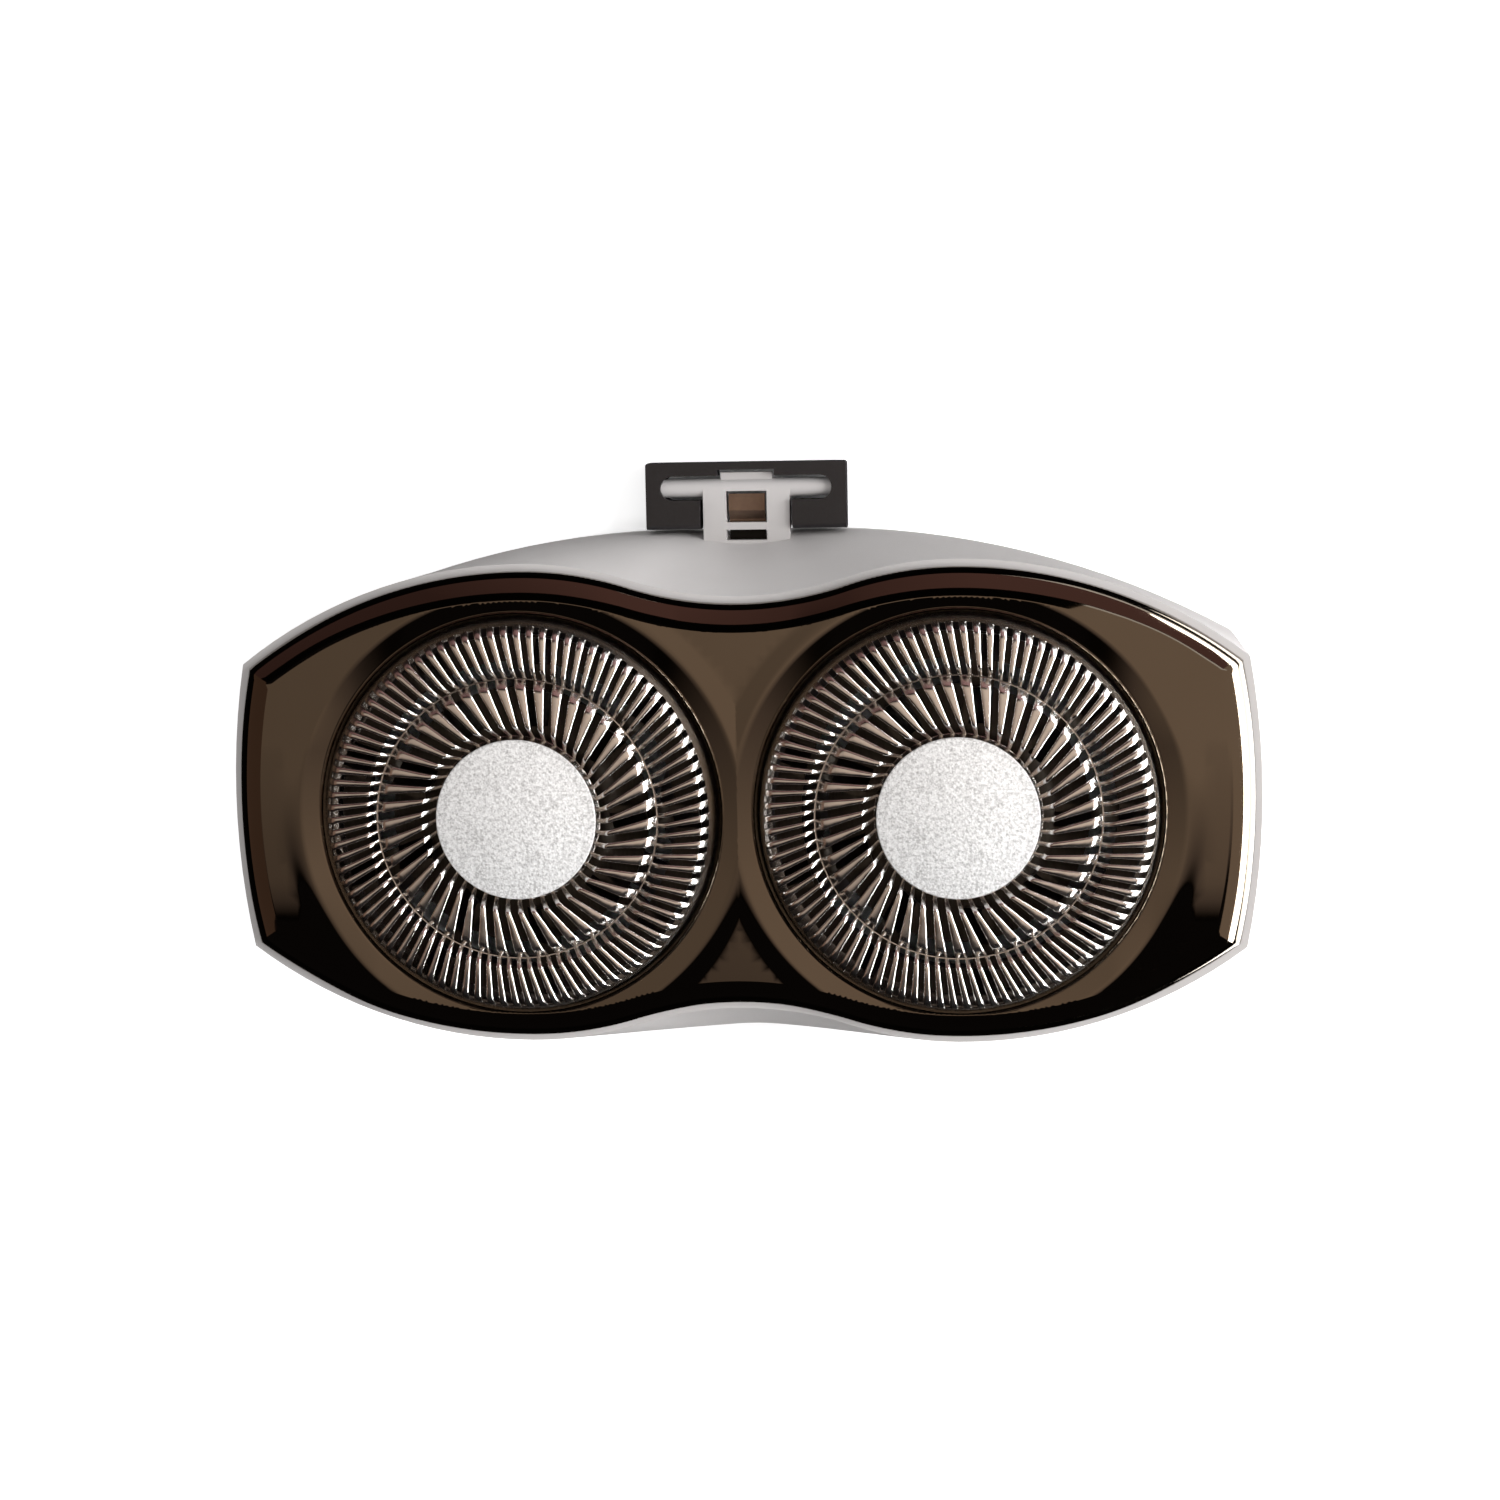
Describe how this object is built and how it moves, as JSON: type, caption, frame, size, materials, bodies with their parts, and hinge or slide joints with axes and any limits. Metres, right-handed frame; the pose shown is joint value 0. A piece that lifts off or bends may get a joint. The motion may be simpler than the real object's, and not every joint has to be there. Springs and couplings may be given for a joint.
{
  "type": "shaver head",
  "caption": "Twin rotary shaver head with a plated peanut-shaped face plate, slotted floating foils, spinning cutters, a grey housing and a hinged mounting bracket.",
  "frame": {"origin": "on the rear rim's plane, midway between the two foil axes", "axes": "+Z out of the shaving face, +X along the head's length, +Y towards the hinge bracket"},
  "size_m": [0.062, 0.0364, 0.0132],
  "materials": {
    "plated_plastic": "brown gunmetal plating, polished",
    "grey_plastic": "satin light grey moulding",
    "black_plastic": "fine matt black moulding",
    "dark_plastic": "satin dark grey moulding",
    "foil_steel": "polished stainless steel",
    "cutter_steel": "ground stainless steel",
    "cap_metal": "fine sand-blasted silver",
    "hub_plastic": "natural white acetal",
    "spring_steel": "bright spring steel",
    "spring_bronze": "brown spring bronze",
    "screw_steel": "zinc-plated steel"
  },
  "bodies": {
    "head": {"head_housing": "grey_plastic", "face_plate": "plated_plastic", "retainer_frame": "dark_plastic", "lock_screw": "screw_steel", "plate_screws": "screw_steel", "lift_spring": "spring_bronze", "left_float_spring": "spring_steel", "right_float_spring": "spring_steel"},
    "left_foil_unit": {"left_foil": "foil_steel", "left_foil_cap": "cap_metal", "left_foil_bush": "cutter_steel"},
    "right_foil_unit": {"right_foil": "foil_steel", "right_foil_cap": "cap_metal", "right_foil_bush": "cutter_steel"},
    "left_cutter": {"left_cutter_blades": "cutter_steel", "left_cutter_hub": "hub_plastic"},
    "right_cutter": {"right_cutter_blades": "cutter_steel", "right_cutter_hub": "hub_plastic"},
    "lock": {"lock_knob": "black_plastic"},
    "hinge": {"hinge_bracket": "black_plastic"}
  },
  "joints": [
    {"name": "left_foil_float", "type": "slide", "parent": "head", "child": "left_foil_unit", "axis": [0, 0, -1], "range_m": [0, 0.001], "stiffness_N_per_m": 500, "springref_m": -0.001, "deforming": ["left_float_spring"]},
    {"name": "right_foil_float", "type": "slide", "parent": "head", "child": "right_foil_unit", "axis": [0, 0, -1], "range_m": [0, 0.001], "stiffness_N_per_m": 500, "springref_m": -0.001, "deforming": ["right_float_spring"]},
    {"name": "left_cutter_spin", "type": "hinge", "parent": "left_foil_unit", "child": "left_cutter", "pos_m": [-0.0131, 0, 0.0065], "axis": [0, 0, 1], "continuous": true},
    {"name": "right_cutter_spin", "type": "hinge", "parent": "right_foil_unit", "child": "right_cutter", "pos_m": [0.0131, 0, 0.0065], "axis": [0, 0, 1], "continuous": true},
    {"name": "lock_turn", "type": "hinge", "parent": "head", "child": "lock", "pos_m": [0, 0, 0.0048], "axis": [0, 0, 1], "range_deg": [0, 60]},
    {"name": "hinge_fold", "type": "hinge", "parent": "head", "child": "hinge", "pos_m": [0, 0.01906, 0.00133], "axis": [-1, 0, 0], "range_deg": [0, 90]}
  ]
}
